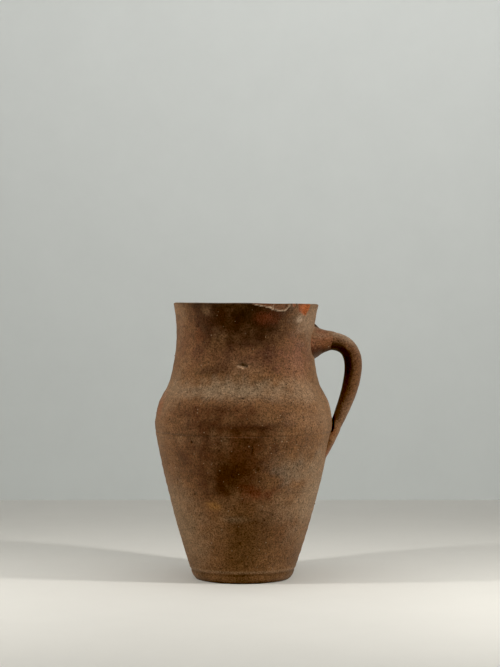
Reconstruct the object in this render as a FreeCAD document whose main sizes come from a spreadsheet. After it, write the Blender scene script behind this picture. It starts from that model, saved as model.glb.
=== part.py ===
"""A hand-thrown, unglazed clay pitcher, built the way a potter builds it.

Five pieces of clay are luted together before they are fired: a lower body thrown with its floor, an upper
body (shoulder, neck and rim) set on it at the widest place, a pulled handle, and the two wads of soft clay
that are thumbed round the handle's roots, one on the neck and one under the belly.

Frame: +Z is up along the wheel's axis, the origin is the centre of the flat base, and the handle stands
out along +X. Lengths are in millimetres and angles in degrees.
"""

import FreeCAD, Part
import os

import Sketcher

SIZES = [
    # the thrown body, outside
    ("height", 200.0, "base to rim"),
    ("base_radius", 34.2, "flat that the jug stands on"),
    ("foot_radius", 37.2, "edge of the foot"),
    ("foot_height", 4.5, "height of the foot's edge"),
    ("foot_slope", 0.35, "how far the wall leans out just above the foot, for each millimetre up"),
    ("wall_stretch", 42.5, "height over which the wall keeps that lean"),
    ("belly_radius", 64.5, "widest radius"),
    ("belly_height", 109.5, "height of the widest place"),
    ("belly_turn", 5.5, "pull point below the widest place: small is a tight turn"),
    ("shoulder_pull", 0.46, "share of the way up to the waist that the shoulder stays wide"),
    ("neck_pull", 0.65, "share of the way down to the belly that the neck stays narrow"),
    ("neck_radius", 49.8, "narrowest radius of the neck"),
    ("waist_drop", 26.0, "rim down to the narrowest place"),
    ("rim_radius", 52.9, "outer radius of the rim"),
    # thickness of the clay
    ("wall", 5.5, "wall, measured level"),
    ("floor_thickness", 8.0, "floor"),
    ("floor_corner", 12.0, "radius inside, where wall meets floor"),
    ("rim_round", 1.4, "rounding of the rim's two edges"),
    # the seam between the two thrown sections, and the lines turned in the outside
    ("seam_drop", 2.6, "seam below the widest place"),
    ("line_depth", 0.5, "depth of a turned line"),
    ("line_round", 1.0, "radius of the turning tool's tip"),
    ("foot_line_rise", 1.7, "lower turned line, above the foot's edge"),
    # old chips in the rim's outer edge: direction from +X, depth into the wall, and spread
    ("deep_chip_angle", -37.0, "deep chip, direction"),
    ("deep_chip_depth", 2.4, "deep chip, into the wall"),
    ("deep_chip_length", 14.0, "deep chip, along the rim"),
    ("deep_chip_drop", 7.6, "deep chip, down from the rim"),
    ("spall_angle", -63.0, "middle spall, direction"),
    ("spall_depth", 1.5, "middle spall, into the wall"),
    ("spall_length", 13.0, "middle spall, along the rim"),
    ("spall_drop", 3.8, "middle spall, down from the rim"),
    ("flake_angle", -76.0, "small flake, direction"),
    ("flake_depth", 1.1, "small flake, into the wall"),
    ("flake_length", 12.0, "small flake, along the rim"),
    ("flake_drop", 2.2, "small flake, down from the rim"),
    ("gouge_angle", -91.0, "gouge in the neck, direction"),
    ("gouge_depth", 1.5, "gouge, into the wall"),
    ("gouge_length", 9.0, "gouge, across"),
    ("gouge_height", 3.2, "gouge, up and down"),
    ("gouge_drop", 43.4, "rim down to the gouge"),
    # the pulled handle: its centre line is one curve with two pull points
    ("root_drop", 28.7, "rim down to the handle's upper root"),
    ("root_inset", 2.8, "start of the centre line, in from the neck's face"),
    ("upper_pull_out", 39.0, "upper pull point, out past the belly"),
    ("upper_pull_rise", 12.3, "upper pull point, above the upper root"),
    ("lower_pull_out", 8.2, "lower pull point, out past the belly"),
    ("lower_pull_rise", 12.2, "lower pull point, above the widest place"),
    ("end_inset", 10.5, "end of the centre line, in from the belly's radius"),
    ("end_drop", 25.5, "end of the centre line, below the widest place"),
    ("root_thickness", 14.4, "handle at its upper root"),
    ("root_width", 21.0, "handle at its upper root"),
    ("bend_thickness", 12.6, "handle at the top of its bend"),
    ("bend_width", 19.0, "handle at the top of its bend"),
    ("grip_thickness", 12.0, "handle where it is held"),
    ("grip_width", 19.0, "handle where it is held"),
    ("tail_thickness", 8.2, "handle above its lower root"),
    ("tail_width", 20.0, "handle above its lower root"),
    ("end_thickness", 6.0, "handle at its lower end"),
    ("end_width", 22.0, "handle at its lower end"),
    # the wads of clay luted round the handle's roots
    ("neck_wad_height", 24.0, "neck wad against the neck"),
    ("neck_wad_width", 31.0, "neck wad against the neck"),
    ("belly_wad_thickness", 8.8, "belly wad and handle together, at the wad's middle"),
    ("belly_wad_width", 31.0, "belly wad, across the handle"),
    ("wad_lip", 0.6, "thickness of a wad's edge, round the handle"),
]

# Places along the handle's centre line, as shares of the way from its upper root to its lower end.
BEND, GRIP, TAIL = 0.22, 0.52, 0.78
NECK_WAD_MIDDLE, NECK_WAD_END = 0.045, 0.085
CROTCH, BELLY_WAD_MIDDLE = 0.74, 0.86

CLEARANCE = 20.0  # how far a cutting shape runs past the clay that it cuts
NODES = ("lower_body", "upper_body", "handle", "neck_wad", "belly_wad")

START, END, CENTRE = 1, 2, 3  # the sketcher's numbers for a curve's points
ORIGIN = (-1, START)
UP = FreeCAD.Vector(0, 0, 1)


def make_sheet(doc):
    """The spreadsheet of driving sizes, one to a row."""
    sheet = doc.addObject("Spreadsheet::Sheet", "Sizes")
    for row, (name, value, note) in enumerate(SIZES, start=1):
        sheet.set(f"A{row}", note)
        sheet.set(f"B{row}", str(value))
        sheet.setAlias(f"B{row}", name)
    doc.recompute()
    return sheet


def bind_all(thing, expressions):
    """Ties each named property of a thing to its expression."""
    for name, expression in expressions.items():
        thing.setExpression(name, expression)


def new_sketch(owner, name):
    """A sketch in the XZ plane of its body, where sketch x is radius and sketch y is height."""
    sketch = owner.newObject("Sketcher::SketchObject", name)
    plane = next(feature for feature in owner.Origin.OriginFeatures if feature.Role == "XZ_Plane")
    sketch.AttachmentSupport = [(plane, "")]
    sketch.MapMode = "FlatFace"
    return sketch


def fix_point(sketch, point, place):
    """Holds a point at a place, which is a pair of expressions: (across, up)."""
    for kind, expression in zip(("DistanceX", "DistanceY"), place):
        value = sketch.evalExpression(expression)
        number = sketch.addConstraint(Sketcher.Constraint(kind, *ORIGIN, *point, value))
        sketch.setExpression(f"Constraints[{number}]", expression)


def located(sketch, place):
    """The present position of a place."""
    across, up = (sketch.evalExpression(expression) for expression in place)
    return FreeCAD.Vector(across, up, 0)


def add_step(sketch, start, places):
    """Adds one step of an outline and returns its curve's number.

    One place gives a straight line to it. More give a smooth curve that is pulled towards each of them and
    ends at the last one. Every place but the start is held by its expressions.
    """
    points = [located(sketch, place) for place in (start, *places)]
    if len(points) == 2:
        line = sketch.addGeometry(Part.LineSegment(*points), False)
        fix_point(sketch, (line, END), places[0])
        return line
    curve = Part.BSplineCurve()
    curve.buildFromPoles(points, False, len(places))
    number = sketch.addGeometry(curve, False)
    sketch.exposeInternalGeometry(number)
    for pole, place in enumerate(places, start=2):
        fix_point(sketch, (number + pole, CENTRE), place)
    return number


def draw_outline(owner, name, steps):
    """A closed outline, step after step. It starts where its last step ends."""
    sketch = new_sketch(owner, name)
    starts = [steps[-1][-1]] + [places[-1] for places in steps[:-1]]
    curves = [add_step(sketch, start, places) for start, places in zip(starts, steps)]
    for before, after in zip([curves[-1], *curves], curves):
        sketch.addConstraint(Sketcher.Constraint("Coincident", before, END, after, START))
    check_constrained(sketch)
    return sketch


def check_constrained(sketch):
    sketch.Document.recompute()
    if not sketch.FullyConstrained or sketch.RedundantConstraints:
        raise RuntimeError(f"sketch {sketch.Name} isn't cleanly constrained")


def side_steps(inset="0"):
    """Three smooth curves up the jug's side, moved in by an inset: foot to belly, to waist, to rim."""
    waist = "Sizes.height - Sizes.waist_drop"
    shoulder_climb = f"({waist} - Sizes.belly_height)"
    wall_start = f"Sizes.foot_radius + Sizes.foot_slope * Sizes.wall_stretch - {inset}"
    belly = f"Sizes.belly_radius - {inset}"
    neck = f"Sizes.neck_radius - {inset}"
    lower_wall = [
        (wall_start, "Sizes.foot_height + Sizes.wall_stretch"),
        (belly, "Sizes.belly_height - Sizes.belly_turn"),
        (belly, "Sizes.belly_height"),
    ]
    shoulder = [
        (belly, f"Sizes.belly_height + {shoulder_climb} * Sizes.shoulder_pull"),
        (neck, f"{waist} - {shoulder_climb} * Sizes.neck_pull"),
        (neck, waist),
    ]
    flare = [
        (neck, f"{waist} + Sizes.waist_drop / 2"),
        (f"Sizes.rim_radius - {inset}", "Sizes.height"),
    ]
    return [lower_wall, shoulder, flare]


def draw_outside(body):
    """The outside: from the axis across the base, round the foot, up the side and back to the axis."""
    base = [("Sizes.base_radius", "0")]
    turned_under = (
        "Sizes.foot_radius - (Sizes.foot_radius - Sizes.base_radius) / 4",
        "Sizes.foot_height / 3",
    )
    foot = [turned_under, ("Sizes.foot_radius", "Sizes.foot_height")]
    top = [("0", "Sizes.height")]
    axis = [("0", "0")]
    return draw_outline(body, "outside", [base, foot, *side_steps(), top, axis])


def draw_hollow(body):
    """The hollow: from the axis across the floor, up the side one wall further in, and out past the rim."""
    floor = [("Sizes.foot_radius - Sizes.wall", "Sizes.floor_thickness")]
    above_rim = f"Sizes.height + {CLEARANCE}"
    lip = [("Sizes.rim_radius - Sizes.wall", above_rim)]
    top = [("0", above_rim)]
    axis = [("0", "Sizes.floor_thickness")]
    return draw_outline(body, "hollow", [floor, *side_steps("Sizes.wall"), lip, top, axis])


def turn(body, kind, sketch):
    """Turns a sketch once round the wheel's axis: a Revolution adds clay and a Groove takes it away."""
    feature = body.newObject(f"PartDesign::{kind}", f"{sketch.Name}_turned")
    feature.Profile = sketch
    feature.ReferenceAxis = (sketch, ["V_Axis"])
    feature.Angle = 360
    body.Document.recompute()
    return feature


def round_edges(body, name, height, radius):
    """Rounds the body's level circular edges at a height."""
    base = body.Tip
    names = []
    for number, edge in enumerate(base.Shape.Edges, start=1):
        box = edge.BoundBox
        if max(abs(box.ZMin - height), abs(box.ZMax - height)) < 1e-4:
            names.append(f"Edge{number}")
    fillet = body.newObject("PartDesign::Fillet", name)
    fillet.Base = (base, names)
    fillet.setExpression("Radius", radius)
    body.Document.recompute()


def cut_turned_lines(body):
    """Two shallow lines round the outside, left by a round-tipped tool: at the seam and above the foot."""
    sketch = new_sketch(body, "turned_lines")
    tip_out = "Sizes.line_round - Sizes.line_depth"
    seam = (f"Sizes.belly_radius + {tip_out}", "Sizes.belly_height - Sizes.seam_drop")
    foot = (
        f"Sizes.foot_radius + Sizes.foot_slope * Sizes.foot_line_rise + {tip_out}",
        "Sizes.foot_height + Sizes.foot_line_rise",
    )
    for place in (seam, foot):
        tip = Part.Circle(located(sketch, place), UP, sketch.evalExpression("Sizes.line_round"))
        circle = sketch.addGeometry(tip, False)
        number = sketch.addConstraint(Sketcher.Constraint("Radius", circle, tip.Radius))
        sketch.setExpression(f"Constraints[{number}]", "Sizes.line_round")
        fix_point(sketch, (circle, CENTRE), place)
    check_constrained(sketch)
    turn(body, "Groove", sketch)


def scoop(body, name, angle, reach, height, half_sizes):
    """Takes an ellipsoid out of the clay, reach out from the axis in a direction from +X.

    half_sizes are its half-lengths: out from the axis, round it, and up.
    """
    cutter = body.newObject("PartDesign::SubtractiveEllipsoid", name)
    plane = next(feature for feature in body.Origin.OriginFeatures if feature.Role == "XY_Plane")
    cutter.AttachmentSupport = [(plane, "")]
    cutter.MapMode = "FlatFace"
    outwards, around, upwards = half_sizes
    bind_all(
        cutter,
        {
            "Radius1": upwards,
            "Radius2": outwards,
            "Radius3": around,
            "AttachmentOffset.Base.x": f"({reach}) * cos({angle} * 1 deg)",
            "AttachmentOffset.Base.y": f"({reach}) * sin({angle} * 1 deg)",
            "AttachmentOffset.Base.z": height,
            "AttachmentOffset.Rotation.Angle": f"{angle} * 1 deg",
        },
    )
    body.Document.recompute()


def cut_chips(body):
    """The three flakes lost from the rim's outer edge, and the gouge in the neck.

    A chip's ellipsoid is level with the rim and three depths deep, with its middle two depths outside, so
    its cut through the outside is three quarters as long and as high as the ellipsoid itself.
    """
    for chip in ("deep_chip", "spall", "flake"):
        half_sizes = (
            f"Sizes.{chip}_depth * 3",
            f"Sizes.{chip}_length / 2 / 0.75",
            f"Sizes.{chip}_drop / 0.75",
        )
        reach = f"Sizes.rim_radius + Sizes.{chip}_depth * 2"
        scoop(body, chip, f"Sizes.{chip}_angle", reach, "Sizes.height", half_sizes)
    scoop(
        body,
        "gouge",
        "Sizes.gouge_angle",
        "Sizes.neck_radius + Sizes.wall / 4",
        "Sizes.height - Sizes.gouge_drop",
        ("Sizes.gouge_depth", "Sizes.gouge_length / 2", "Sizes.gouge_height / 2"),
    )


def make_thrown_jug(doc, sheet):
    """Both thrown sections in one: turned outside, hollow, rounded rim, turned lines and old chips."""
    body = doc.addObject("PartDesign::Body", "thrown_jug")
    turn(body, "Revolution", draw_outside(body))
    turn(body, "Groove", draw_hollow(body))
    round_edges(body, "rounded_rim", sheet.height, "min(Sizes.rim_round; Sizes.wall * 0.4)")
    round_edges(body, "rounded_floor", sheet.floor_thickness, "Sizes.floor_corner")
    cut_turned_lines(body)
    cut_chips(body)
    return body


def make_solid_form(doc):
    """The jug's outside filled solid. Handle and wads are trimmed to it, so they seat on the wall."""
    body = doc.addObject("PartDesign::Body", "solid_form")
    turn(body, "Revolution", draw_outside(body))
    return body


def combine(doc, kind, name, base, tool):
    """A boolean of two shapes: Part::Common keeps what they share, Part::Cut takes the tool away."""
    result = doc.addObject(f"Part::{kind}", name)
    result.Base = base
    result.Tool = tool
    return result


def make_thrown_sections(doc, jug):
    """The lower and the upper body, which meet at a level seam just under the widest place."""
    block = doc.addObject("Part::Cylinder", "below_seam")
    block.setExpression("Radius", f"Sizes.belly_radius + {CLEARANCE}")
    block.setExpression("Height", "Sizes.belly_height - Sizes.seam_drop")
    combine(doc, "Common", "lower_body", jug, block)
    combine(doc, "Cut", "upper_body", jug, block)


def make_handle_line(doc):
    """The handle's centre line: out from the neck, over the bend, and down to the wall below the belly."""
    root_up = "Sizes.height - Sizes.root_drop"
    root = ("Sizes.neck_radius - Sizes.root_inset", root_up)
    pulls = [
        ("Sizes.belly_radius + Sizes.upper_pull_out", f"{root_up} + Sizes.upper_pull_rise"),
        ("Sizes.belly_radius + Sizes.lower_pull_out", "Sizes.belly_height + Sizes.lower_pull_rise"),
        ("Sizes.belly_radius - Sizes.end_inset", "Sizes.belly_height - Sizes.end_drop"),
    ]
    sketch = doc.addObject("Sketcher::SketchObject", "handle_line")
    sketch.Placement.Rotation = FreeCAD.Rotation(FreeCAD.Vector(1, 0, 0), 90)
    curve = add_step(sketch, root, pulls)
    fix_point(sketch, (curve, START), root)
    check_constrained(sketch)
    return sketch


def loft_along(doc, name, line, ovals):
    """A smooth solid through ovals that stand square to the handle's line.

    Each oval is a share of the way along the line, a thickness and a width.
    """
    sections = []
    for number, (share, thickness, width) in enumerate(ovals, start=1):
        oval = doc.addObject("Part::Ellipse", f"{name}_oval_{number}")
        oval.AttachmentSupport = [(line, "Edge1")]
        oval.MapMode = "NormalToEdge"
        oval.MapPathParameter = share
        bind_all(oval, {"MajorRadius": f"({width}) / 2", "MinorRadius": f"({thickness}) / 2"})
        sections.append(oval)
    solid = doc.addObject("Part::Loft", name)
    solid.Sections = sections
    solid.Solid = True
    return solid


def make_handle(doc, line, form):
    """The pulled handle: a flattened oval, thick at its root and thin at its lower end.

    Its oval is set at five stations, and halfway between two of them it is their mean.
    """
    stations = [("root", 0), ("bend", BEND), ("grip", GRIP), ("tail", TAIL), ("end", 1)]
    ovals = [(share, f"Sizes.{name}_thickness", f"Sizes.{name}_width") for name, share in stations]
    for (name, share), (next_name, next_share) in zip(stations, stations[1:]):
        thickness = f"(Sizes.{name}_thickness + Sizes.{next_name}_thickness) / 2"
        width = f"(Sizes.{name}_width + Sizes.{next_name}_width) / 2"
        ovals.append(((share + next_share) / 2, thickness, width))
    pulled = loft_along(doc, "pulled_clay", line, sorted(ovals))
    combine(doc, "Cut", "handle", pulled, form)
    return pulled


def with_lip(size):
    """A size of the handle's oval with a wad's edge round it."""
    return f"(Sizes.{size} + Sizes.wad_lip * 2)"


def make_wad(doc, name, line, pulled, form, ovals):
    """A wad of clay thumbed round the handle: a sleeve through ovals, less the handle and the wall."""
    sleeve = loft_along(doc, f"{name}_sleeve", line, ovals)
    around_handle = combine(doc, "Cut", f"{name}_round_handle", sleeve, pulled)
    combine(doc, "Cut", name, around_handle, form)


def make_neck_wad(doc, line, pulled, form):
    """The collar round the handle's upper root, widest against the neck and drawn out along the handle."""
    high, wide = "Sizes.neck_wad_height", "Sizes.neck_wad_width"
    thin, narrow = with_lip("root_thickness"), with_lip("root_width")
    hollowed = (f"{thin} + ({high} - {thin}) / 3", f"{narrow} + ({wide} - {narrow}) / 3")
    ovals = [(0, high, wide), (NECK_WAD_MIDDLE, *hollowed), (NECK_WAD_END, thin, narrow)]
    make_wad(doc, "neck_wad", line, pulled, form, ovals)


def make_belly_wad(doc, line, pulled, form):
    """The pad round the handle's lower end: it closes the crotch and runs out on the wall below."""
    ovals = [
        (CROTCH, with_lip("tail_thickness"), with_lip("tail_width")),
        (BELLY_WAD_MIDDLE, "Sizes.belly_wad_thickness", "Sizes.belly_wad_width"),
        (1, with_lip("end_thickness"), with_lip("end_width")),
    ]
    make_wad(doc, "belly_wad", line, pulled, form, ovals)


def check(doc):
    """Stops unless every object was rebuilt and every node is one valid solid."""
    for thing in doc.Objects:
        if {"Invalid", "Error"} & set(thing.State):
            raise RuntimeError(f"{thing.Label} can't be built: {thing.State}")
    for name in NODES:
        shape = doc.getObject(name).Shape
        if shape.isNull() or not shape.isValid() or len(shape.Solids) != 1:
            raise RuntimeError(f"{name} isn't one valid solid")


def export(doc):
    os.makedirs("parts", exist_ok=True)
    for name in NODES:
        doc.getObject(name).Shape.exportStep(f"parts/{name}.step")


doc = FreeCAD.newDocument("pitcher")
sheet = make_sheet(doc)
form = make_solid_form(doc)
make_thrown_sections(doc, make_thrown_jug(doc, sheet))
handle_line = make_handle_line(doc)
pulled_clay = make_handle(doc, handle_line, form)
make_neck_wad(doc, handle_line, pulled_clay, form)
make_belly_wad(doc, handle_line, pulled_clay, form)
doc.recompute()
check(doc)
export(doc)
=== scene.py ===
"""An unglazed clay pitcher, thrown and luted together by hand, fired in a smoky kiln, and well used.

Everything is in metres in the CAD's frame: +Z up along the jug's axis, the handle along +X, and the
viewer looking along +Y. Sizes of the clay are worked out in millimetres, as a potter would give them,
and turned to metres when a mesh is made. The last number given to lumps and rough is always a seed.
"""

import itertools
import math

import bpy
import numpy as np
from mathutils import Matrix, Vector


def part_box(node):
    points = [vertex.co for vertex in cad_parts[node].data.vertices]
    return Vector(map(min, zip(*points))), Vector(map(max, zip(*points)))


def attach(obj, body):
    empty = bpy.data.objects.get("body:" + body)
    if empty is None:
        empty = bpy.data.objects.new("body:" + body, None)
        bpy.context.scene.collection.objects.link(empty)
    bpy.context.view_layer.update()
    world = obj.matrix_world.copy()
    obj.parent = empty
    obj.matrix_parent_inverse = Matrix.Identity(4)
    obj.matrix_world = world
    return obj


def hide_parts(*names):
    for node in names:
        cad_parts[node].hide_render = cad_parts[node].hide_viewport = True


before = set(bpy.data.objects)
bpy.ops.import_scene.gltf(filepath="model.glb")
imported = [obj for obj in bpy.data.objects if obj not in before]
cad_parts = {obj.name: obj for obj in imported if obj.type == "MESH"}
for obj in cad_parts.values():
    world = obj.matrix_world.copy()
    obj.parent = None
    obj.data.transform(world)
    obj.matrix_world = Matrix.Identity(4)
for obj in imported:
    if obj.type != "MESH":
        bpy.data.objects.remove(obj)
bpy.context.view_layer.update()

# ---------------------------------------------------------------------------------------------------------
# The studio: a round room with a pale grey wall that curves into its floor, and a white board in the
# middle of it that the jug stands on. Both are painted with matt emulsion, rolled on.

ROOM_RADIUS = 2.6
ROOM_FLOOR, ROOM_TOP = -0.75, 3.0
COVE_RADIUS = 0.5
BOARD_BACK, BOARD_FRONT, BOARD_SIDE = 0.535, 2.0, 1.8
BOARD_THICKNESS, BOARD_EDGE = 0.018, 0.003


def linear(colour):
    """An sRGB hex colour as linear red, green, blue and an alpha of one."""
    channels = np.array([int(colour[i : i + 2], 16) for i in (1, 3, 5)]) / 255
    low = channels / 12.92
    high = ((channels + 0.055) / 1.055) ** 2.4
    return (*np.where(channels <= 0.04045, low, high).tolist(), 1.0)


def new_material(name):
    """An empty node material, and its tree."""
    material = bpy.data.materials.new(name)
    material.use_nodes = True
    material.node_tree.nodes.clear()
    return material, material.node_tree


def add(tree, kind, inputs=None, **settings):
    """Adds a shader node. inputs maps a socket to a value, or to the output that feeds it."""
    made = tree.nodes.new("ShaderNode" + kind)
    for name, value in settings.items():
        setattr(made, name, value)
    for socket, value in (inputs or {}).items():
        if isinstance(value, bpy.types.NodeSocket):
            tree.links.new(value, made.inputs[socket])
        else:
            made.inputs[socket].default_value = value
    return made


def link_mesh(name, points, faces, smooth=True):
    """A mesh object in the scene from points in metres and a list of faces."""
    mesh = bpy.data.meshes.new(name)
    mesh.from_pydata(points.tolist(), [], faces)
    mesh.polygons.foreach_set("use_smooth", np.full(len(mesh.polygons), smooth))
    mesh.update()
    made = bpy.data.objects.new(name, mesh)
    bpy.context.collection.objects.link(made)
    return made


def ring_faces(rows, columns, wrap_rows=False):
    """Quads between neighbouring rows of a grid whose columns wrap round, and its rows too if asked."""
    row = np.arange(rows if wrap_rows else rows - 1)[:, None]
    column = np.arange(columns)[None, :]
    this_row, next_row = row * columns, (row + 1) % rows * columns
    right = (column + 1) % columns
    quads = np.stack([this_row + column, this_row + right, next_row + right, next_row + column], axis=-1)
    return quads.reshape(-1, 4).tolist()


# The room is a profile turned round the Z axis: a flat floor, a quarter circle, and an upright wall.
# Its columns run clockwise from above, so that its faces look inwards.
cove = np.radians(np.linspace(0, 90, 17))
room_radius = np.concatenate([[0.001], ROOM_RADIUS - COVE_RADIUS * (1 - np.sin(cove)), [ROOM_RADIUS]])
room_height = np.concatenate([[ROOM_FLOOR], ROOM_FLOOR + COVE_RADIUS * (1 - np.cos(cove)), [ROOM_TOP]])
around_room = np.linspace(0, -2 * np.pi, 96, endpoint=False)
room_points = np.empty((len(room_radius), len(around_room), 3))
room_points[..., 0] = room_radius[:, None] * np.cos(around_room)
room_points[..., 1] = room_radius[:, None] * np.sin(around_room)
room_points[..., 2] = room_height[:, None]
room = link_mesh("painted_room", room_points.reshape(-1, 3), ring_faces(*room_points.shape[:2]))

side, front, back, low = BOARD_SIDE, -BOARD_FRONT, BOARD_BACK, -BOARD_THICKNESS
corners = [(-side, front), (side, front), (side, back), (-side, back)]
board_points = np.array([(x, y, z) for z in (low, 0.0) for x, y in corners])
board_faces = [[3, 2, 1, 0], [4, 5, 6, 7], *ring_faces(2, 4)]
board = link_mesh("painted_board", board_points, board_faces, smooth=False)
rounded = board.modifiers.new("eased_edge", "BEVEL")
rounded.width, rounded.segments = BOARD_EDGE, 3


def matt_emulsion(name, colour):
    """Matt emulsion paint, rolled on: it has no gloss, and its tone drifts by a few percent.

    MapRange takes its value at 0, the range it comes from at 1 and 2, and the range it goes to at 3 and 4.
    """
    material, tree = new_material(name)
    place = add(tree, "TexCoord").outputs["Object"]
    roller = add(tree, "TexNoise", {"Vector": place, "Scale": 9.0, "Detail": 6.0, "Roughness": 0.7})
    drift = add(tree, "MapRange", {0: roller.outputs[0], 3: 0.96, 4: 1.04})
    tone = add(tree, "HueSaturation", {"Color": linear(colour), "Value": drift.outputs[0]}).outputs[0]
    matt = add(tree, "BsdfPrincipled", {"Base Color": tone, "Roughness": 0.9, "Specular IOR Level": 0.2})
    add(tree, "OutputMaterial", {"Surface": matt.outputs[0]})
    return material


room.data.materials.append(matt_emulsion("grey_matt_emulsion", "#d9dbd6"))
board.data.materials.append(matt_emulsion("white_matt_emulsion", "#e7e6e1"))

# The light: a broad soft box overhead, and a small lamp low at each side, a little in front of the jug.
# They brighten its flanks, leave its middle dark and throw its shadow out both ways across the board.
# Two more boxes wash the wall of the room behind the jug and behind the camera.


def soft_box(name, place, size, watts, aim, colour, spread=180):
    """An area light, sized in metres, that faces an aim point. Its beam spreads over so many degrees."""
    lamp = bpy.data.lights.new(name, "AREA")
    lamp.shape = "RECTANGLE"
    lamp.size, lamp.size_y = size
    lamp.energy = watts
    lamp.spread = math.radians(spread)
    lamp.color = linear(colour)[:3]
    holder = bpy.data.objects.new(name, lamp)
    bpy.context.collection.objects.link(holder)
    holder.location = place
    holder.rotation_euler = (Vector(aim) - Vector(place)).to_track_quat("-Z", "Y").to_euler()
    holder.visible_camera = False


RIM_HEIGHT = float(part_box("upper_body")[1][2])
JUG_MIDDLE = (0.0, 0.0, RIM_HEIGHT * 0.6)
SIDE_LAMP, WASH_BOX = (0.035, 0.07), (2.5, 0.3)
WARM_WHITE, COOL_WHITE = "#fffbf5", "#fdfdff"

soft_box("overhead_box", (0.0, -0.09, 1.30), (1.2, 0.9), 4.75, (0.0, 0.10, 0.0), "#fffdf8")
soft_box("left_lamp", (-0.42, -0.17, 0.36), SIDE_LAMP, 1.3, JUG_MIDDLE, WARM_WHITE)
soft_box("right_lamp", (0.40, -0.20, 0.35), SIDE_LAMP, 1.6, JUG_MIDDLE, WARM_WHITE)
soft_box("wall_wash", (0.35, 0.85, 2.5), WASH_BOX, 23.0, (0.35, ROOM_RADIUS, 0.3), COOL_WHITE, spread=100)
soft_box("front_wash", (0.0, -0.85, 2.5), WASH_BOX, 6.0, (0.0, -ROOM_RADIUS, 0.5), COOL_WHITE, spread=95)

world = bpy.data.worlds.new("studio_air")
bpy.context.scene.world = world
world.use_nodes = True
air = world.node_tree.nodes["Background"]
air.inputs["Color"].default_value = linear("#e8ecee")
air.inputs["Strength"].default_value = 0.04

# The camera stands level with the rim, so that the mouth closes to a line, and looks down by less than
# a degree. It crushes the deepest shadows a little, as a small camera does.

CAMERA_DISTANCE = 1.354
CAMERA_ASIDE = 0.0055
LENS = 100.3  # millimetres
AIM_DROP = 0.0222  # how far below its own height it looks, at the jug
SHADOW_CRUSH = 0.013  # the light, as a share of white, that still comes out black

camera_data = bpy.data.cameras.new("camera")
camera_data.lens = LENS
camera = bpy.data.objects.new("camera", camera_data)
bpy.context.collection.objects.link(camera)
camera.location = (CAMERA_ASIDE, -CAMERA_DISTANCE, RIM_HEIGHT)
camera.rotation_euler = (math.pi / 2 - math.atan2(AIM_DROP, CAMERA_DISTANCE), 0.0, 0.0)
bpy.context.scene.camera = camera
film = bpy.context.scene.view_settings
film.view_transform = "Standard"
film.look = "None"
film.use_curve_mapping = True
film.curve_mapping.black_level = (SHADOW_CRUSH, SHADOW_CRUSH, SHADOW_CRUSH)

# ---------------------------------------------------------------------------------------------------------
# Lower body: the floor and tapering wall, thrown in one on the wheel from iron-rich clay with lime and
# quartz grit in it. It was cut from the wheel with a twisted cord, turned at the foot with a blunt tool,
# and fired in a smoky kiln, so it is brown with dark fire marks, and it is dusty and worn.

HEIGHT = RIM_HEIGHT * 1000
SEAM_HEIGHT = float(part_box("lower_body")[1][2]) * 1000
BELLY_RADIUS = float(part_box("upper_body")[1][1]) * 1000
BELLY_HEIGHT = 109.5
BELLY_TURN = 5.5  # how far below the belly the wall starts to turn upright
WALL_LEAN = 0.35  # how far the wall goes out for each millimetre up, where it leaves the foot
WALL_STRETCH = 42.5  # how far up the wall keeps that lean
FOOT_RADIUS, FOOT_HEIGHT = 37.2, 4.5  # where the wall meets the turned edge of the foot
BASE_RADIUS = 34.2  # the flat that the jug stands on
WAIST_DROP = 26.0  # the neck's narrowest place, below the rim
NECK_RADIUS, RIM_RADIUS = 49.8, 52.9
SHOULDER_PULL, NECK_PULL = 0.46, 0.65  # how full the shoulder and the hollow of the neck are
WALL, FLOOR = 5.5, 8.0
FLOOR_CORNER = 12.0  # the radius between floor and wall inside
RIM_ARCH = 1.8  # the height of the rim's rounded edge
LEAN = 1.8  # how far the rim stands to the handle's side
TIP = math.tan(math.radians(0.55))  # how much the rim dips towards the handle
RIM_PUSH = 0.65  # how far the rim is pushed over to the handle's side
COLUMNS = 448  # points round each ring of the wall


def bezier(poles, share):
    """A Bezier curve: each pole weighted by Bernstein's polynomial of the share of the way along."""
    poles = np.array(poles, float)
    share = np.asarray(share, float)
    last = len(poles) - 1
    weights = np.array([math.comb(last, i) * (1 - share) ** (last - i) * share**i for i in range(last + 1)])
    return np.tensordot(weights, poles, axes=(0, 0))


def side_profile():
    """Radius and height up the outside, from the foot's edge to the rim, as three smooth curves."""
    waist = HEIGHT - WAIST_DROP
    climb = waist - BELLY_HEIGHT
    share = np.linspace(0, 1, 120)
    lower_wall = [
        (FOOT_RADIUS, FOOT_HEIGHT),
        (FOOT_RADIUS + WALL_LEAN * WALL_STRETCH, FOOT_HEIGHT + WALL_STRETCH),
        (BELLY_RADIUS, BELLY_HEIGHT - BELLY_TURN),
        (BELLY_RADIUS, BELLY_HEIGHT),
    ]
    shoulder = [
        (BELLY_RADIUS, BELLY_HEIGHT),
        (BELLY_RADIUS, BELLY_HEIGHT + climb * SHOULDER_PULL),
        (NECK_RADIUS, waist - climb * NECK_PULL),
        (NECK_RADIUS, waist),
    ]
    flare = [(NECK_RADIUS, waist), (NECK_RADIUS, waist + WAIST_DROP / 2), (RIM_RADIUS, HEIGHT)]
    below = [bezier(curve, share)[:-1] for curve in (lower_wall, shoulder)]
    return np.concatenate([*below, bezier(flare, share)])


SIDE = side_profile()


def outer_radius(height):
    """The smooth outside's radius at a height, read between the points of the side profile."""
    return np.interp(height, SIDE[:, 1], SIDE[:, 0])


LATTICE_VALUES = 4096
LATTICE_PRIMES = 73856093, 19349663, 83492791  # any large ones scatter the lattice's corners well


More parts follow.
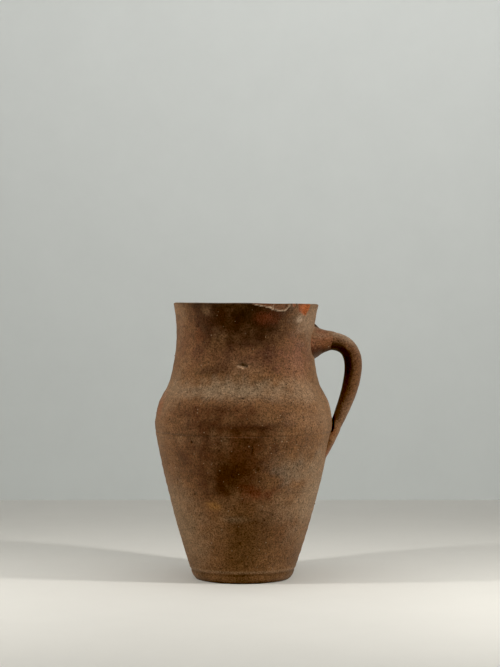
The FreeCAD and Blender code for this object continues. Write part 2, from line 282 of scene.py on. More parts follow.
def lumps(points, size, seed):
    """A smooth random field from -1 to 1 whose lumps are about one size across.

    Random values stand at the corners of a cubic lattice, and each point blends its eight corners with
    smooth steps.
    """
    values = np.random.default_rng(seed).uniform(-1, 1, LATTICE_VALUES)
    scaled = points / size
    cell = np.floor(scaled).astype(np.int64)
    part = scaled - cell
    part = part * part * (3 - 2 * part)
    total = np.zeros(points.shape[:-1])
    for corner in np.ndindex(2, 2, 2):
        weight = np.prod(np.where(corner, part, 1 - part), axis=-1)
        at = cell + corner
        scattered = at * LATTICE_PRIMES
        pick = scattered[..., 0] ^ scattered[..., 1] ^ scattered[..., 2]
        total += weight * values[pick % LATTICE_VALUES]
    return total


def rough(points, size, seed):
    """Three sizes of lumps added, each half as large and half as strong as the last, from -1 to 1."""
    return sum(lumps(points, size / 2**i, seed + i) / 2**i for i in range(3)) / (1 + 1 / 2 + 1 / 4)


def step(value, low, high):
    """A smooth step from 0 at low to 1 at high, three squares less two cubes. low may be the larger."""
    share = np.clip((value - low) / (high - low), 0, 1)
    return share * share * (3 - 2 * share)


def bearing(points):
    """Direction round the jug in degrees: 0 faces the viewer and 90 is the handle's side."""
    return np.degrees(np.arctan2(points[..., 0], -points[..., 1]))


# What was knocked out of the wall after firing. Each loss is a convex patch: how deep it goes, how
# steeply its sides fall, and its corners as (bearing, height), clockwise as the viewer sees them. Those
# on the rim have their top corners above it.
LOSSES = {
    "deep_chip": (2.5, 0.85, [(44.5, 202), (62.5, 202), (61.5, 197), (57, 191), (47, 194.3)]),
    "notch": (1.4, 0.9, [(39, 202), (44, 202), (43, 197.4), (40.5, 197)]),
    "spall": (1.5, 0.8, [(20, 202), (37.5, 202), (37, 197.2), (33, 194.2), (23.5, 195), (20, 196.4)]),
    "flake": (0.9, 0.9, [(6, 202), (24, 202), (24, 196), (17.8, 197.1), (6, 198.3)]),
    "gouge": (
        1.6,
        0.9,
        [(-6.6, 156.6), (-1, 158.6), (3.8, 157), (3, 154.7), (-1.5, 153.7), (-5.4, 155)],
    ),
    "neck_pit": (0.7, 0.9, [(-42, 184.6), (-40, 184.8), (-39.8, 182.8), (-41.6, 182.7)]),
    "wall_pit": (0.8, 1.2, [(-35.9, 103.2), (-34.2, 103.2), (-34, 101.5), (-35.6, 101.4)]),
    "shoulder_pit": (0.6, 0.9, [(-49.3, 129.4), (-47.9, 129.6), (-47.6, 126.6), (-48.8, 126.4)]),
    "scar": (0.45, 0.8, [(5.4, 101.5), (6.5, 101.2), (5.6, 91.2), (4.7, 91.6)]),
}


def loss_depth(points, depth, slope, corners):
    """How deep a loss is: the slope times the distance in from its nearest side, up to its depth.

    The wall is unrolled, with the way round as radius times bearing. Its sides and its bottom are ragged.
    """
    around = np.radians(bearing(points)) * outer_radius(points[..., 2])
    up = points[..., 2] + 0.35 * rough(points, 2.2, 5)
    ends = np.array(corners, float)
    ends[:, 0] = np.radians(ends[:, 0]) * outer_radius(ends[:, 1])
    inside = np.full(points.shape[:-1], np.inf)
    for start, end in zip(ends, np.roll(ends, -1, axis=0)):
        along = (end - start) / np.linalg.norm(end - start)
        inside = np.minimum(inside, (around - start[0]) * along[1] - (up - start[1]) * along[0])
    bottom = depth * (1 + 0.25 * lumps(points, 3.0, 8))
    return np.clip(inside * slope, 0, bottom)


def all_losses(points):
    """The deepest loss at each point."""
    return np.max([loss_depth(points, *loss) for loss in LOSSES.values()], axis=0)


SEAM_LINE = SEAM_HEIGHT + 0.3
FOOT_LINE, FOOT_RIDGE = 6.6, 8.6  # the groove turned at the foot, and the clay it pushed up


def bump(height, middle, half_height):
    """A smooth bell of height 1: e to the minus square of the distance from its middle."""
    return np.exp(-(((height - middle) / half_height) ** 2))


def grit_pits(points):
    """1 in the small round pits where a grain of grit fell out, and 0 round them."""
    return step(lumps(points, 3.1, 19), 0.83, 0.97)


def seam_shows(points):
    """1 where the luted seam can still be seen, fading to 0 where it was smoothed away."""
    return step(lumps(points, 13, 16), -0.5, 0.4)


def outside_relief(points):
    """How far the real outside stands proud of its smooth form, in millimetres.

    It adds the hand's slow unevenness, the fingers' spiral rings, the rim's push to the handle's side,
    the seam and the turned foot line, and the grit, less the pits.
    """
    height = points[..., 2]
    rim_push = RIM_PUSH * np.sin(np.radians(bearing(points))) * np.clip(height / HEIGHT, 0, 1) ** 6
    turns = bearing(points) / 360
    uneven = 0.28 * lumps(points, 48, 11) + 0.14 * lumps(points, 15, 12)
    spiral = np.sin(2 * np.pi * (height / 7.3 + turns + 0.5 * lumps(points, 30, 13)))
    rings = 0.10 * spiral * (0.7 + 0.5 * lumps(points, 35, 14))
    shoulder = -0.45 * bump(height, 139, 5) + 0.45 * bump(height, 155, 9) - 0.2 * bump(height, 121, 3)
    seam = -0.30 * seam_shows(points) * bump(height, SEAM_LINE, 0.8)
    above_seam = 0.18 * bump(height, SEAM_LINE + 5.4, 2.6)
    foot = 0.28 * bump(height, FOOT_RIDGE, 1.0) - 0.42 * bump(height, FOOT_LINE, 0.7)
    gritty = 0.10 * rough(points, 2.8, 15)
    turned_lines = seam + above_seam + foot
    return uneven + rings + rim_push + shoulder + turned_lines + gritty - 0.42 * grit_pits(points)


def inside_relief(points):
    """The inside keeps the potter's finger rings, deeper than outside because nothing smoothed them.

    They are a sine wave of the height over their pitch, which winds once round the jug for each ring.
    """
    turns = points[..., 2] / 8.6 - bearing(points) / 360
    spiral = np.sin(2 * np.pi * (turns + 0.4 * lumps(points, 30, 21)))
    return 0.30 * spiral + 0.25 * lumps(points, 30, 22) + 0.06 * rough(points, 3.0, 23)


def lean(points):
    """The whole jug leans to the handle's side in step with the height, and its rim tips that way."""
    share = points[..., 2:3] / HEIGHT
    moved = np.zeros_like(points)
    moved[..., 0:1] = LEAN * share
    moved[..., 2:3] = -TIP * points[..., 0:1] * np.clip(share, 0, 1) ** 3
    return points + moved


def turned(rows):
    """A turned form's grid of points: each (radius, height) row becomes a ring that starts at -X."""
    angle = np.linspace(0, 2 * np.pi, COLUMNS, endpoint=False) + np.pi
    rows = np.array(rows, float)
    ring = np.stack([np.cos(angle), np.sin(angle)], axis=-1)
    grid = np.empty((len(rows), COLUMNS, 3))
    grid[..., :2] = rows[:, None, :1] * ring
    grid[..., 2] = rows[:, 1:2]
    return grid


def pushed_out(grid, distance):
    """Moves points away from the jug's axis by a distance each."""
    radius = np.hypot(grid[..., 0], grid[..., 1])
    moved = grid.copy()
    moved[..., :2] *= ((radius + distance) / np.maximum(radius, 0.01))[..., None]
    return moved


def with_losses(grid):
    """Cuts the losses into a grid: no point stands further out than the wall's face less the loss."""
    radius = np.hypot(grid[..., 0], grid[..., 1])
    face = outer_radius(grid[..., 2]) + outside_relief(grid)
    loss = all_losses(grid)
    limit = np.where(loss > 0, face - loss, np.inf)
    return pushed_out(grid, np.minimum(radius, limit) - radius)


def capped(grid, start, end):
    """Points and faces of a tube closed at both ends by a fan to one point."""
    rows, columns = grid.shape[:2]
    points = np.concatenate([grid.reshape(-1, 3), [start, end]])
    column = np.arange(columns)
    right = (column + 1) % columns
    top = (rows - 1) * columns
    first = np.stack([right, column, np.full(columns, rows * columns)], axis=-1)
    last = np.stack([top + column, top + right, np.full(columns, rows * columns + 1)], axis=-1)
    return points, ring_faces(rows, columns) + first.tolist() + last.tolist()


def heights_between(low, high, spacing):
    """Even heights from one to the other, about a spacing apart."""
    return np.linspace(low, high, int(abs(high - low) / spacing) + 1)


BASE_HOLLOW = 0.5  # how far the middle of the underside has drawn up in drying
CENTRE_HOLE = 2.0  # the radius of the innermost ring, which a fan closes
OUTSIDE_STEP, INSIDE_STEP = 0.8, 2.4  # how far apart the rings of the mesh are
CORD_CENTRE, CORD_PITCH, CORD_RIDGE = (-60, 15), 3.4, 0.12

base_radii = np.linspace(CENTRE_HOLE, BASE_RADIUS, 12)
base_rows = np.stack([base_radii, BASE_HOLLOW * (1 - (base_radii / BASE_RADIUS) ** 2)], axis=-1)
turned_under = (FOOT_RADIUS - (FOOT_RADIUS - BASE_RADIUS) / 4, FOOT_HEIGHT / 3)
foot_edge = [(BASE_RADIUS, 0), turned_under, (FOOT_RADIUS, FOOT_HEIGHT)]
foot_rows = bezier(foot_edge, np.linspace(0, 1, 8))[1:]
wall_heights = heights_between(FOOT_HEIGHT, SEAM_HEIGHT, OUTSIDE_STEP)[1:]
wall_rows = np.stack([outer_radius(wall_heights), wall_heights], axis=-1)
inner_heights = heights_between(SEAM_HEIGHT, FLOOR + FLOOR_CORNER, INSIDE_STEP)
inner_rows = np.stack([outer_radius(inner_heights) - WALL, inner_heights], axis=-1)
corner = np.radians(np.linspace(0, 90, 9))[1:]
corner_middle = inner_rows[-1, 0] - FLOOR_CORNER
corner_radii = corner_middle + FLOOR_CORNER * np.cos(corner)
corner_rows = np.stack([corner_radii, FLOOR + FLOOR_CORNER * (1 - np.sin(corner))], axis=-1)
floor_radii = np.linspace(corner_middle, CENTRE_HOLE, 9)[1:]
floor_rows = np.stack([floor_radii, np.full(len(floor_radii), FLOOR)], axis=-1)

outer_grid = turned(np.concatenate([foot_rows, wall_rows]))
outer_grid = with_losses(pushed_out(outer_grid, outside_relief(outer_grid)))
inner_grid = turned(np.concatenate([inner_rows, corner_rows]))
inner_grid = pushed_out(inner_grid, inside_relief(inner_grid))
base_grid, floor_grid = turned(base_rows), turned(floor_rows)

# The twisted cord that cut the jug from the wheel left curved ridges across its underside.
from_cord = np.linalg.norm(base_grid[..., :2] - CORD_CENTRE, axis=-1)
cord_ridges = CORD_RIDGE * (1 + np.sin(2 * np.pi * from_cord / CORD_PITCH))
base_grid[..., 2] += cord_ridges * (base_grid[..., 2] > 0.01)
lower_grid = np.concatenate([base_grid, outer_grid, inner_grid, floor_grid])
lower_points, lower_faces = capped(lower_grid, (0, 0, BASE_HOLLOW), (0, 0, FLOOR))
lower_body = link_mesh("lower_body_thrown_clay", lean(lower_points) / 1000, lower_faces)

# Fire marks and wear, as the kiln and long use left them: the middle as (bearing, height), how far the
# mark reaches each way from it, its colour and its strength. Bearings are in degrees.
MARKS = {
    "neck_smoke": ((0, 188), (62, 27), "#230c03", 0.95),
    "neck_smoke_core": ((-1, 175), (18, 9), "#220b04", 0.6),
    "smoke_under_flake": ((2, 193), (12, 7), "#1b0e07", 0.5),
    "smoke_at_lip": ((-30, 199), (40, 4), "#241206", 0.65),
    "smoke_left_of_lip": ((-25, 187), (22, 16), "#2e1307", 0.75),
    "iron_under_flake": ((17, 189), (12, 5), "#5e2c19", 0.5),
    "iron_left_of_neck": ((-42, 176), (6, 5), "#6b3a1e", 0.5),
    "warm_left_neck": ((-60, 172), (26, 26), "#5e3a28", 0.5),
    "warm_left_side": ((-46, 88), (44, 84), "#5f3d26", 0.35),
    "warm_lower_neck": ((10, 161), (60, 11), "#573528", 0.45),
    "pink_right_of_neck": ((48, 164), (20, 17), "#7d5443", 0.45),
    "smoke_left_of_gouge": ((-28, 152), (16, 4), "#2f1c12", 0.45),
    "dust_on_shoulder": ((-14, 139), (46, 8), "#8f7d66", 0.55),
    "dust_right_of_shoulder": ((44, 137), (26, 9), "#8a735c", 0.45),
    "smoke_above_belly": ((-14, 124), (34, 6), "#3f1c0c", 0.5),
    "smoke_band": ((4, 113.5), (34, 3.6), "#2c0f05", 0.7),
    "smoke_on_wall": ((-3, 90), (46, 38), "#3a1708", 0.76),
    "smoke_core": ((-11, 78), (17, 13), "#240a03", 0.6),
    "iron_in_smoke": ((9, 67), (15, 7), "#5a210f", 0.6),
    "grey_bloom": ((38, 84), (24, 12), "#7c6d5a", 0.5),
    "ochre_spot": ((-22.5, 57), (7, 4), "#8f6434", 0.6),
    "rubbed_low": ((-7, 47.5), (14, 3.4), "#75634e", 0.45),
    "brown_low": ((5, 30), (28, 30), "#4c331a", 0.5),
    "pale_right_of_belly": ((50, 118), (24, 10), "#84674f", 0.35),
    "pale_by_chip": ((64, 187), (24, 17), "#8b745e", 0.55),
    "pale_under_chip": ((50.5, 188.5), (4.5, 2.6), "#a8917a", 0.65),
    # dust with painted sheen: both lower flanks are painted paler where the side lamps graze them
    "dust_and_sheen_right_low": ((64, 60), (28, 36), "#826d57", 0.45),
    "dust_and_sheen_left_low": ((-64, 42), (28, 36), "#7a654c", 0.4),
    "dust_left_shoulder": ((-62, 140), (24, 10), "#8b745c", 0.4),
    "orange_left_shoulder": ((-76, 127), (7, 11), "#8e4c2a", 0.45),
    # painted light: the handle's inner tail lies in the belly's shadow, so it is painted paler as if lit
    "painted_light_on_tail": ((82, 122), (8, 14), "#94745a", 0.6),
    "smoke_behind": ((165, 120), (50, 45), "#24140b", 0.55),
    "dust_behind": ((-130, 137), (60, 8), "#8f7a64", 0.45),
    "iron_behind": ((-110, 70), (24, 20), "#5e2f20", 0.5),
}
BROKEN_CLAY = {
    "deep_chip": "#8c4b28",
    "notch": "#7d5038",
    "spall": "#634330",
    "flake": "#5f3c2a",
    # the gouge's pale colour is a painted highlight on its lower lip
    "gouge": "#b99474",
}
# The shaded clay is painted shade inside the deep chip and under the gouge's brow. The pit clay darkens the
# small pits, and it is also painted shade, with smoke, on the handle's inner face, and painted shade on the
# nub. The flaked edge colour is a painted highlight along the border of the spall and the flake.
SHADED_CLAY, PIT_CLAY, PIT_DARK_AND_CONTACT_SHADE = "#1c0d06", "#150a05", "#190d06"
FLAKE_EDGE_HIGHLIGHT = "#a8927a"
CLAY_BROWN, CLAY_PALE, CLAY_SMOKED = "#6d4c31", "#8f7459", "#39190a"


def blend(colours, other, amount):
    """Blends every point's colour towards another by an amount each."""
    other = np.array(linear(other)[:3])
    return colours + (other - colours) * amount[..., None]


def fired_colour(points):
    """The clay's own colour at each point: brown, clouded by the fire, with its marks and its grit.

    A mark is strongest in its middle and fades with the distance, measured in its own reach and made
    ragged by lumps. The grain darkens and lightens the colour by its own small share.
    """
    colours = np.tile(linear(CLAY_BROWN)[:3], (*points.shape[:-1], 1))
    colours = blend(colours, CLAY_SMOKED, 0.5 * step(rough(points, 42, 31), 0.0, 0.7))
    colours = blend(colours, CLAY_PALE, 0.4 * step(rough(points, 26, 35), 0.0, 0.7))
    around, height = bearing(points), points[..., 2]
    edge = 0.5 * rough(points, 15, 39) + 0.45 * rough(points, 5.5, 43)
    for (middle, level), (half_width, half_height), colour, strength in MARKS.values():
        apart = (around - middle + 180) % 360 - 180
        away = np.hypot(apart / half_width, (height - level) / half_height) + edge
        colours = blend(colours, colour, strength * (1 - step(away, 0.1, 1.35)))
    turning = rough(points * [1, 1, 4.5], 8, 59)
    grain = 0.27 * rough(points, 3.0, 47) + 0.17 * lumps(points, 1.9, 51) + 0.18 * turning
    return colours * (1 + grain)[..., None]


def wall_colour(points):
    """The fired colour, darker in the pits and lines, with painted contact shadow along the foot's bottom
    edge, and fresh clay where the wall is broken.

    A break shows only near the outer face. The left of the deep chip and the upper part of the gouge,
    under its brow, get painted shade. The spall and the flake get a painted highlight just inside their
    outline.
    """
    colours = fired_colour(points)
    around, height = bearing(points), points[..., 2]
    seam = 0.4 * seam_shows(points) * bump(height, SEAM_LINE, 0.8)
    # the foot: its turned groove is darker, and its bottom edge gets painted contact shadow where it stands
    # on the board
    foot = 0.4 * bump(height, FOOT_LINE, 0.7) + 0.6 * bump(height, 0, 1.6)
    colours = blend(colours, PIT_DARK_AND_CONTACT_SHADE, np.clip(0.75 * grit_pits(points) + seam + foot, 0, 1))
    colours = blend(colours, CLAY_PALE, 0.45 * bump(height, FOOT_RIDGE, 0.9))
    behind_face = outer_radius(height) - np.hypot(points[..., 0], points[..., 1])
    on_face = step(behind_face, 3.8, 3.3)
    for name, loss in LOSSES.items():
        depth = loss_depth(points, *loss) * on_face
        share = step(depth, 0.02, 0.35)
        colours = blend(colours, BROKEN_CLAY.get(name, PIT_CLAY), share * 0.95)
        if name == "deep_chip":
            colours = blend(colours, SHADED_CLAY, 0.85 * share * 0.6 * step(around, 53.5, 49.5))
        if name == "gouge":
            colours = blend(colours, SHADED_CLAY, 0.85 * share * step(height + 0.25 * around, 154.3, 155.3))
        if name in ("spall", "flake"):
            # painted highlight along the spall's and the flake's border, below the rim's top
            edge = step(depth, 0.0, 0.06) * step(depth, 0.85, 0.35) * step(height, 199.6, 198.6)
            colours = blend(colours, FLAKE_EDGE_HIGHLIGHT, 0.75 * edge)
    return colours


def paint_points(made, colours):
    """Gives a mesh the clay's colour at each of its points."""
    layer = made.data.color_attributes.new("fired_colour", "FLOAT_COLOR", "POINT")
    with_alpha = np.concatenate([colours, np.ones((len(colours), 1))], axis=-1)
    layer.data.foreach_set("color", with_alpha.ravel())


SAND_SPACING = 1.1  # the real sand is about half as coarse, too fine to show
GRIT_SPACING = 2.4


def fired_clay():
    """Unglazed low-fired earthenware, thrown and left as it came off the wheel.

    That gives the eye a matt, open, sandy surface, with dust in its pores that lightens its edges. Mix
    takes its share at 0 and its two colours at 6 and 7, and gives the colour at its output 2.
    """
    material, tree = new_material("unglazed_fired_earthenware")
    place = add(tree, "TexCoord").outputs["Object"]
    clay = add(tree, "Attribute", attribute_name="fired_colour").outputs["Color"]
    sand_size = {"Scale": 1000 / SAND_SPACING, "Detail": 2.0, "Roughness": 0.7}
    sand = add(tree, "TexNoise", {"Vector": place, **sand_size}).outputs[0]
    shade = add(tree, "MapRange", {0: sand, 1: 0.32, 2: 0.68, 3: 0.40, 4: 1.66}).outputs[0]
    sandy = add(tree, "HueSaturation", {"Color": clay, "Value": shade}).outputs[0]
    # Lime and iron grit: about one cell of the pattern in twenty holds a grain of each.
    grit = add(tree, "TexVoronoi", {"Vector": place, "Scale": 1000 / GRIT_SPACING})
    kind = add(tree, "SeparateColor", {0: grit.outputs["Color"]})
    spot = add(tree, "MapRange", {0: grit.outputs["Distance"], 1: 0.28, 2: 0.13})
    lime_here = add(tree, "MapRange", {0: kind.outputs[0], 1: 0.95, 2: 0.98}).outputs[0]
    lime = add(tree, "Math", {0: spot.outputs[0], 1: lime_here}, operation="MULTIPLY").outputs[0]
    dark_here = add(tree, "MapRange", {0: kind.outputs[1], 1: 0.92, 2: 0.96}).outputs[0]
    dark = add(tree, "Math", {0: spot.outputs[0], 1: dark_here}, operation="MULTIPLY").outputs[0]
    limed = add(tree, "Mix", {0: lime, 6: sandy, 7: linear("#8a7058")}, data_type="RGBA").outputs[2]
    gritty = add(tree, "Mix", {0: dark, 6: limed, 7: linear("#160c06")}, data_type="RGBA").outputs[2]
    pores = add(tree, "Bump", {"Height": sand, "Strength": 0.5, "Distance": 0.0005}).outputs[0]
    grain_bump = {"Height": spot.outputs[0], "Strength": 0.3, "Distance": 0.0003}
    grains = add(tree, "Bump", {**grain_bump, "Normal": pores})
    surface = add(
        tree,
        "BsdfPrincipled",
        {
            "Base Color": gritty,
            "Roughness": 0.88,
            "IOR": 1.5,
            "Specular IOR Level": 0.25,
            "Sheen Weight": 0.25,
            "Sheen Roughness": 0.6,
            "Sheen Tint": linear("#cbbba6"),
            "Normal": grains.outputs[0],
        },
    )
    add(tree, "OutputMaterial", {"Surface": surface.outputs[0]})
    return material


EARTHENWARE = fired_clay()
paint_points(lower_body, wall_colour(lower_points))
lower_body.data.materials.append(EARTHENWARE)
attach(lower_body, "root")
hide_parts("lower_body")

# ---------------------------------------------------------------------------------------------------------
# Upper body: shoulder, neck and rim, thrown apart from the same clay and luted on along a level seam
# just under the widest place. Its rim has lost flakes along the side that faces the viewer.

RIM_SQUARENESS = 2.8  # the rim's edge is a superellipse: 2 is round, and more is squarer

upper_heights = heights_between(SEAM_HEIGHT, HEIGHT - RIM_ARCH, OUTSIDE_STEP)
upper_rows = np.stack([outer_radius(upper_heights), upper_heights], axis=-1)
arch = np.linspace(0, np.pi, 15)[1:-1]
arch_across = np.sign(np.cos(arch)) * np.abs(np.cos(arch)) ** (2 / RIM_SQUARENESS)
arch_up = np.sin(arch) ** (2 / RIM_SQUARENESS)
arch_radii = RIM_RADIUS - WALL / 2 + WALL / 2 * arch_across
arch_rows = np.stack([arch_radii, HEIGHT - RIM_ARCH * (1 - arch_up)], axis=-1)
neck_heights = heights_between(HEIGHT - RIM_ARCH, SEAM_HEIGHT, INSIDE_STEP)
neck_rows = np.stack([outer_radius(neck_heights) - WALL, neck_heights], axis=-1)

outer_grid = turned(np.concatenate([upper_rows, arch_rows]))
outer_grid = with_losses(pushed_out(outer_grid, outside_relief(outer_grid)))
outer_grid[..., 2] += 0.25 * lumps(outer_grid, 22, 61) * step(outer_grid[..., 2], HEIGHT - 8, HEIGHT)
inner_grid = turned(neck_rows)
inner_grid = pushed_out(inner_grid, inside_relief(inner_grid))
upper_grid = np.concatenate([outer_grid, inner_grid])
upper_points = upper_grid.reshape(-1, 3)
upper_faces = ring_faces(*upper_grid.shape[:2], wrap_rows=True)
upper_body = link_mesh("upper_body_thrown_clay", lean(upper_points) / 1000, upper_faces)
paint_points(upper_body, wall_colour(upper_points))
upper_body.data.materials.append(EARTHENWARE)
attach(upper_body, "root")
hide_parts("upper_body")

# ---------------------------------------------------------------------------------------------------------
# Handle: a length of clay pulled between wet fingers to a flattened oval and bent into a loop, thick at
# its upper root and thinning to its lower end. Years of hands have rubbed its outer face paler.

# Its line, thickness and width are Bezier curves of the way along, with these poles.
ROOT_HEIGHT = HEIGHT - 28.7
HANDLE_LINE = [
    (NECK_RADIUS - 2.8, ROOT_HEIGHT),
    (BELLY_RADIUS + 39.0, ROOT_HEIGHT + 12.3),
    (BELLY_RADIUS + 8.2, BELLY_HEIGHT + 12.2),
    (BELLY_RADIUS - 10.5, BELLY_HEIGHT - 25.5),
]
THICKNESS_PULLS = [14.4, 8.5, 19.9, 5.1, 6.0]
WIDTH_PULLS = [21.0, 17.0, 19.7, 18.6, 22.0]
HANDLE_ROWS, HANDLE_COLUMNS = 260, 120
HANDLE_DUST = "#947c66"
OVAL_FULLNESS = 0.88  # 1 is an ellipse, and less is fuller at its corners


def along_handle(share, half_thickness, half_width, columns):
    """Oval rings square to the handle's line.

    At each share of the way the centre is the line's point, and the ring goes round it, half_thickness
    along the line's outward normal in the XZ plane and half_width along Y.
    """
    centre = bezier(HANDLE_LINE, share)
    ahead = bezier(HANDLE_LINE, share + 1e-4) - bezier(HANDLE_LINE, share - 1e-4)
    ahead /= np.linalg.norm(ahead, axis=-1, keepdims=True)
    outward = np.stack([-ahead[:, 1], ahead[:, 0]], axis=-1)
    angle = np.linspace(0, -2 * np.pi, columns, endpoint=False)
    across = np.sign(np.cos(angle)) * np.abs(np.cos(angle)) ** OVAL_FULLNESS
    beside = np.sign(np.sin(angle)) * np.abs(np.sin(angle)) ** OVAL_FULLNESS
    grid = np.empty((len(share), columns, 3))
    reach = half_thickness[:, None] * across
    grid[..., 0] = centre[:, None, 0] + outward[:, None, 0] * reach
    grid[..., 1] = half_width[:, None] * beside
    grid[..., 2] = centre[:, None, 1] + outward[:, None, 1] * reach
    return grid


CRACK_FOOT, CRACK_WIDTH = 107.0, 1.9


def clear_of_wall(grid, inset):
    """Keeps a dark crack open between the wall and a root's near side, over the lower root.

    Above the crack's foot every point on the near half stands the crack's width less an inset off the
    wall at least, and the crack fades out again above the belly.
    """
    height = grid[..., 2]
    open_here = step(height, CRACK_FOOT - 1.5, CRACK_FOOT + 1.5) * step(-grid[..., 1], -2.5, 2.5)
    open_here = open_here * (1 - step(height, BELLY_HEIGHT + 14, BELLY_HEIGHT + 22))
    nearest = outer_radius(height) + CRACK_WIDTH - inset
    radius = np.hypot(grid[..., 0], grid[..., 1])
    return pushed_out(grid, np.clip(nearest - radius, 0, None) * open_here)


def kept_in_wall(grid):
    """Stops a root inside the wall's clay: no point comes nearer the axis than a little behind its face."""
    nearest = outer_radius(grid[..., 2]) - 0.6 * WALL
    return pushed_out(grid, np.clip(nearest - np.hypot(grid[..., 0], grid[..., 1]), 0, None))


def smoke_and_shade_inside(points, colours, inward):
    """Darkens the face turned to the jug, where smoke and hands have blackened the clay, with painted shade
    there too, where the jug's body keeps the lamps off it.

    inward is how far each point lies from the handle's middle line towards the jug.
    """
    share = step(inward + 0.8 * rough(points, 6, 77), -0.6, 1.6) * step(points[..., 2], 130, 158)
    return blend(colours, PIT_CLAY, 0.75 * share)


handle_share = np.linspace(0, 1, HANDLE_ROWS)
half_thickness = bezier(THICKNESS_PULLS, handle_share) / 2
half_width = bezier(WIDTH_PULLS, handle_share) / 2
handle_grid = along_handle(handle_share, half_thickness, half_width, HANDLE_COLUMNS)
handle_middle = handle_grid.mean(axis=1, keepdims=True)
handle_out = handle_grid - handle_middle
handle_outwards = handle_out / np.linalg.norm(handle_out, axis=-1, keepdims=True)
handle_swell = 0.26 * lumps(handle_grid, 16, 71) + 0.09 * rough(handle_grid, 2.6, 72)
handle_swell = handle_swell + 0.12 * lumps(handle_grid, 7, 75)
handle_grid += handle_outwards * handle_swell[..., None]
handle_grid = kept_in_wall(clear_of_wall(handle_grid, 0))
handle_points, handle_faces = capped(handle_grid, *kept_in_wall(handle_middle[[0, -1], 0]))
handle = link_mesh("handle_pulled_clay", lean(handle_points) / 1000, handle_faces)
ahead = np.gradient(handle_middle[:, 0], axis=0)
towards_jug = np.stack([ahead[:, 2], 0 * ahead[:, 1], -ahead[:, 0]], axis=-1)
towards_jug /= np.linalg.norm(ahead, axis=-1, keepdims=True)
inward = np.append((handle_out * towards_jug[:, None]).sum(axis=-1), [0, 0])
handle_colours = blend(fired_colour(handle_points), CLAY_SMOKED, np.full(len(handle_points), 0.48))
upwards = np.append(handle_outwards[..., 2], [0, 0])
dusty = 0.6 * step(upwards + 0.2 * rough(handle_points, 5, 79), 0.1, 0.8)
handle_colours = blend(handle_colours, HANDLE_DUST, dusty)
# the handle's inner face gets smoke and painted shade
paint_points(handle, smoke_and_shade_inside(handle_points, handle_colours, inward))
handle.data.materials.append(EARTHENWARE)
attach(handle, "root")
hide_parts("handle")

# ---------------------------------------------------------------------------------------------------------
# Wads: soft clay thumbed round the handle's roots and smeared on to the wall, one on the neck and one
# under the belly, where it also fills the crotch. Both keep the dents of the thumb that pressed them.

# Their thickness and width are given at shares of the way along the handle's line.
NECK_WAD = {
    "share": [-0.03, 0.0, 0.03, 0.055, 0.08, 0.11, 0.14, 0.16],
    "thickness": [29.0, 25.0, 21.2, 17.8, 15.6, 13.7, 12.4, 11.0],
    "width": [37.0, 32.0, 27.5, 24.4, 22.4, 20.6, 18.6, 17.0],
}
BELLY_WAD = {
    "share": [0.72, 0.75, 0.80, 0.86, 0.94, 1.02],
    "thickness": [6.0, 7.6, 8.9, 8.8, 8.0, 6.4],
    "width": [16.0, 19.0, 25.0, 31.0, 29.0, 22.0],
}
WAD_COLUMNS = 96
NUB = np.array([51.5, 4.0, 182.6])  # a lump squeezed up behind the handle's upper root
NUB_RISE, NUB_WIDTH = 3.2, 2.6
# the wad's red slip, and painted shade with smoke under the handle's upper root
RED_SLIP, UNDER_ROOT_SHADE_AND_SMOKE = "#68311f", "#2a0f07"


def wad_of(sizes, rows):
    """The rings of a wad, with its thickness and width read between the stations of its table."""
    share = np.linspace(sizes["share"][0], sizes["share"][-1], rows)
    thickness, width = (np.interp(share, sizes["share"], sizes[size]) for size in ("thickness", "width"))
    return along_handle(share, thickness / 2, width / 2, WAD_COLUMNS)


def from_nub(points):
    """The distance of each point from the nub."""
    return np.linalg.norm(points - NUB, axis=-1)


neck_wad_grid = wad_of(NECK_WAD, 60)
belly_wad_grid = clear_of_wall(wad_of(BELLY_WAD, 90), 0.2)

for node_name, wad_grid, seed in (("neck_wad", neck_wad_grid, 81), ("belly_wad", belly_wad_grid, 91)):
    wad_middle = wad_grid.mean(axis=1, keepdims=True)
    wad_out = wad_grid - wad_middle
    swell = 0.55 * lumps(wad_grid, 6.5, seed) + 0.08 * rough(wad_grid, 2.4, seed + 1)
    swell += NUB_RISE * bump(from_nub(wad_grid), 0, NUB_WIDTH)
    wad_grid = wad_grid + wad_out / np.linalg.norm(wad_out, axis=-1, keepdims=True) * swell[..., None]
    wad_grid = kept_in_wall(wad_grid)
    wad_points, wad_faces = capped(wad_grid, *kept_in_wall(wad_middle[[0, -1], 0]))
    wad = link_mesh(f"{node_name}_thumbed_clay", lean(wad_points) / 1000, wad_faces)
    reddened = 0.5 * step(rough(wad_points, 9, 83), -0.5, 0.3)
    wad_colours = blend(fired_colour(wad_points), RED_SLIP, reddened)
    if node_name == "neck_wad":
        # painted shade, with smoke: the wad under the handle's upper root is darkened where the root shades
        # it
        shade_and_smoke_under_root = step(ROOT_HEIGHT - wad_points[..., 2] + rough(wad_points, 5, 85), 0.5, 5)
        wad_colours = blend(wad_colours, UNDER_ROOT_SHADE_AND_SMOKE, 0.8 * shade_and_smoke_under_root)
        # painted shade: the nub tucked behind the root is painted near black, as it lies in shadow
        wad_colours = blend(wad_colours, PIT_CLAY, 0.85 * step(from_nub(wad_points), 5.5, 3.0))
    paint_points(wad, wad_colours)
    wad.data.materials.append(EARTHENWARE)
    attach(wad, "root")
    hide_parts(node_name)

# ---------------------------------------------------------------------------------------------------------
# Lime grains: crumbs of limestone in the clay that the fire turned to lime. They stand a little proud
# where the wall has worn down round them, thickest on the handle's side of the belly.

GRAINS = 200
SPREAD_LOW, SPREAD_HIGH = 12, 196
GATHERED_AT, GATHERED_WITHIN = (38, 108), (24, 24)
GRAIN_SIZES, GRAIN_STRETCH = (0.22, 0.58), (0.7, 1.2)
LIME_BROWN, LIME_PALE = "#6a513a", "#a58b6e"
grain_random = np.random.default_rng(17)


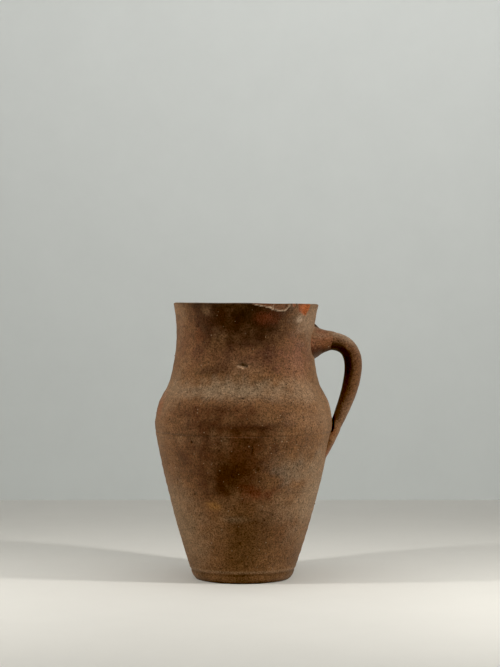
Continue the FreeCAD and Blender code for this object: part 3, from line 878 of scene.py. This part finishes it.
def grain_places(count):
    """Random (bearing, height) pairs: half spread all over, and half round the belly's handle side."""
    half = count // 2
    spread_bearings = grain_random.uniform(-180, 180, half)
    spread_heights = grain_random.uniform(SPREAD_LOW, SPREAD_HIGH, half)
    gathered = grain_random.normal(GATHERED_AT, GATHERED_WITHIN, (count - half, 2))
    return np.concatenate([np.stack([spread_bearings, spread_heights], axis=-1), gathered])


def grain_ball():
    """Corners and faces of an icosahedron of radius one.

    The corners are the cyclic shifts of (one, golden ratio, nought) with every sign, and each face joins
    three corners that are an edge apart.
    """
    golden = (1 + math.sqrt(5)) / 2
    flat = np.array([(-1, golden, 0), (1, golden, 0), (-1, -golden, 0), (1, -golden, 0)])
    corners = np.concatenate([np.roll(flat, shift, axis=1) for shift in range(3)])
    close = np.linalg.norm(corners[:, None] - corners, axis=-1) < 2.1
    faces = np.array([t for t in itertools.combinations(range(12), 3) if close[np.ix_(t, t)].all()])
    inward = np.linalg.det(corners[faces]) < 0
    faces[inward] = faces[inward][:, ::-1]
    return corners / np.linalg.norm(corners[0]), faces


places = grain_places(GRAINS)
places = places[(places[:, 1] > 10) & (places[:, 1] < SPREAD_HIGH)]
grain_bearing = np.radians(places[:, 0])
reach = outer_radius(places[:, 1])
on_wall = np.stack([np.sin(grain_bearing) * reach, -np.cos(grain_bearing) * reach, places[:, 1]], axis=-1)
on_wall = pushed_out(on_wall, outside_relief(on_wall) - all_losses(on_wall) + 0.02)
ball, ball_faces = grain_ball()
sizes = grain_random.uniform(*GRAIN_SIZES, len(places))[:, None, None]
sizes = sizes * grain_random.uniform(*GRAIN_STRETCH, (len(places), 1, 3))
grain_points = (on_wall[:, None, :] + ball * sizes).reshape(-1, 3)
first_corners = len(ball) * np.arange(len(places))
grain_faces = (ball_faces + first_corners[:, None, None]).reshape(-1, 3).tolist()
lime_grains = link_mesh("lime_grains", lean(grain_points) / 1000, grain_faces)
grain_tones = np.repeat(grain_random.uniform(0.0, 1.0, len(places)) ** 4, len(ball))
lime_colours = np.tile(linear(LIME_BROWN)[:3], (len(grain_points), 1))
paint_points(lime_grains, blend(lime_colours, LIME_PALE, grain_tones))
lime_grains.data.materials.append(EARTHENWARE)
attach(lime_grains, "root")
